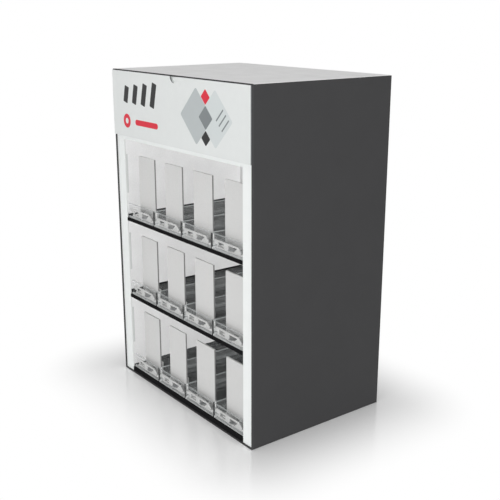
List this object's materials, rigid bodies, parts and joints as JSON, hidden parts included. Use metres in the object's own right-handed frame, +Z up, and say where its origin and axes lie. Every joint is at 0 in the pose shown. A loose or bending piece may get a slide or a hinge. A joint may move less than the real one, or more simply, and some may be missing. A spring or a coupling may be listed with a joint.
{
  "type": "counter display cabinet",
  "caption": "Upright open-front board display cabinet with shelves, clear trays and sliding spring-fed pack pushers below a header card.",
  "frame": {"origin": "centre of the case's underside, on the surface it stands on", "axes": "+Z up along the cabinet's height, front faces -Y, +X to the viewer's right when facing the front"},
  "size_m": [0.284, 0.1975, 0.4],
  "materials": {
    "black_board": "dark grey printed board outside, pale grey inside and on top",
    "white_board": "smooth coated board",
    "printed_card": "smooth printed card",
    "black_card": "matt black card",
    "clear_plastic": "clear glossy moulding",
    "white_plastic": "satin moulding",
    "spring_steel": "rolled strip"
  },
  "bodies": {
    "cabinet": {"case_shell": "black_board", "front_frame": "white_board", "header_card": "printed_card", "base_deck": "black_card", "shelf_middle": "black_card", "shelf_upper": "black_card", "tray_lower_1": "clear_plastic", "tray_lower_2": "clear_plastic", "tray_lower_3": "clear_plastic", "tray_lower_4": "clear_plastic", "tray_middle_1": "clear_plastic", "tray_middle_2": "clear_plastic", "tray_middle_3": "clear_plastic", "tray_middle_4": "clear_plastic", "tray_upper_1": "clear_plastic", "tray_upper_2": "clear_plastic", "tray_upper_3": "clear_plastic", "tray_upper_4": "clear_plastic"},
    "feeder_lower_1": {"pusher_lower_1": "white_plastic", "spring_lower_1": "spring_steel"},
    "feeder_lower_2": {"pusher_lower_2": "white_plastic", "spring_lower_2": "spring_steel"},
    "feeder_lower_3": {"pusher_lower_3": "white_plastic", "spring_lower_3": "spring_steel"},
    "feeder_lower_4": {"pusher_lower_4": "white_plastic", "spring_lower_4": "spring_steel"},
    "feeder_middle_1": {"pusher_middle_1": "white_plastic", "spring_middle_1": "spring_steel"},
    "feeder_middle_2": {"pusher_middle_2": "white_plastic", "spring_middle_2": "spring_steel"},
    "feeder_middle_3": {"pusher_middle_3": "white_plastic", "spring_middle_3": "spring_steel"},
    "feeder_middle_4": {"pusher_middle_4": "white_plastic", "spring_middle_4": "spring_steel"},
    "feeder_upper_1": {"pusher_upper_1": "white_plastic", "spring_upper_1": "spring_steel"},
    "feeder_upper_2": {"pusher_upper_2": "white_plastic", "spring_upper_2": "spring_steel"},
    "feeder_upper_3": {"pusher_upper_3": "white_plastic", "spring_upper_3": "spring_steel"},
    "feeder_upper_4": {"pusher_upper_4": "white_plastic", "spring_upper_4": "spring_steel"}
  },
  "joints": [
    {"name": "feed_lower_1", "type": "slide", "parent": "cabinet", "child": "feeder_lower_1", "axis": [0, 1, 0], "range_m": [0, 0.145], "stiffness_N_per_m": 6, "springref_m": -0.05},
    {"name": "feed_lower_2", "type": "slide", "parent": "cabinet", "child": "feeder_lower_2", "axis": [0, 1, 0], "range_m": [0, 0.145], "stiffness_N_per_m": 6, "springref_m": -0.05},
    {"name": "feed_lower_3", "type": "slide", "parent": "cabinet", "child": "feeder_lower_3", "axis": [0, 1, 0], "range_m": [0, 0.145], "stiffness_N_per_m": 6, "springref_m": -0.05},
    {"name": "feed_lower_4", "type": "slide", "parent": "cabinet", "child": "feeder_lower_4", "axis": [0, 1, 0], "range_m": [0, 0.145], "stiffness_N_per_m": 6, "springref_m": -0.05},
    {"name": "feed_middle_1", "type": "slide", "parent": "cabinet", "child": "feeder_middle_1", "axis": [0, 1, 0], "range_m": [0, 0.145], "stiffness_N_per_m": 6, "springref_m": -0.05},
    {"name": "feed_middle_2", "type": "slide", "parent": "cabinet", "child": "feeder_middle_2", "axis": [0, 1, 0], "range_m": [0, 0.145], "stiffness_N_per_m": 6, "springref_m": -0.05},
    {"name": "feed_middle_3", "type": "slide", "parent": "cabinet", "child": "feeder_middle_3", "axis": [0, 1, 0], "range_m": [0, 0.145], "stiffness_N_per_m": 6, "springref_m": -0.05},
    {"name": "feed_middle_4", "type": "slide", "parent": "cabinet", "child": "feeder_middle_4", "axis": [0, 1, 0], "range_m": [0, 0.145], "stiffness_N_per_m": 6, "springref_m": -0.05},
    {"name": "feed_upper_1", "type": "slide", "parent": "cabinet", "child": "feeder_upper_1", "axis": [0, 1, 0], "range_m": [0, 0.145], "stiffness_N_per_m": 6, "springref_m": -0.05},
    {"name": "feed_upper_2", "type": "slide", "parent": "cabinet", "child": "feeder_upper_2", "axis": [0, 1, 0], "range_m": [0, 0.145], "stiffness_N_per_m": 6, "springref_m": -0.05},
    {"name": "feed_upper_3", "type": "slide", "parent": "cabinet", "child": "feeder_upper_3", "axis": [0, 1, 0], "range_m": [0, 0.145], "stiffness_N_per_m": 6, "springref_m": -0.05},
    {"name": "feed_upper_4", "type": "slide", "parent": "cabinet", "child": "feeder_upper_4", "axis": [0, 1, 0], "range_m": [0, 0.145], "stiffness_N_per_m": 6, "springref_m": -0.05}
  ]
}
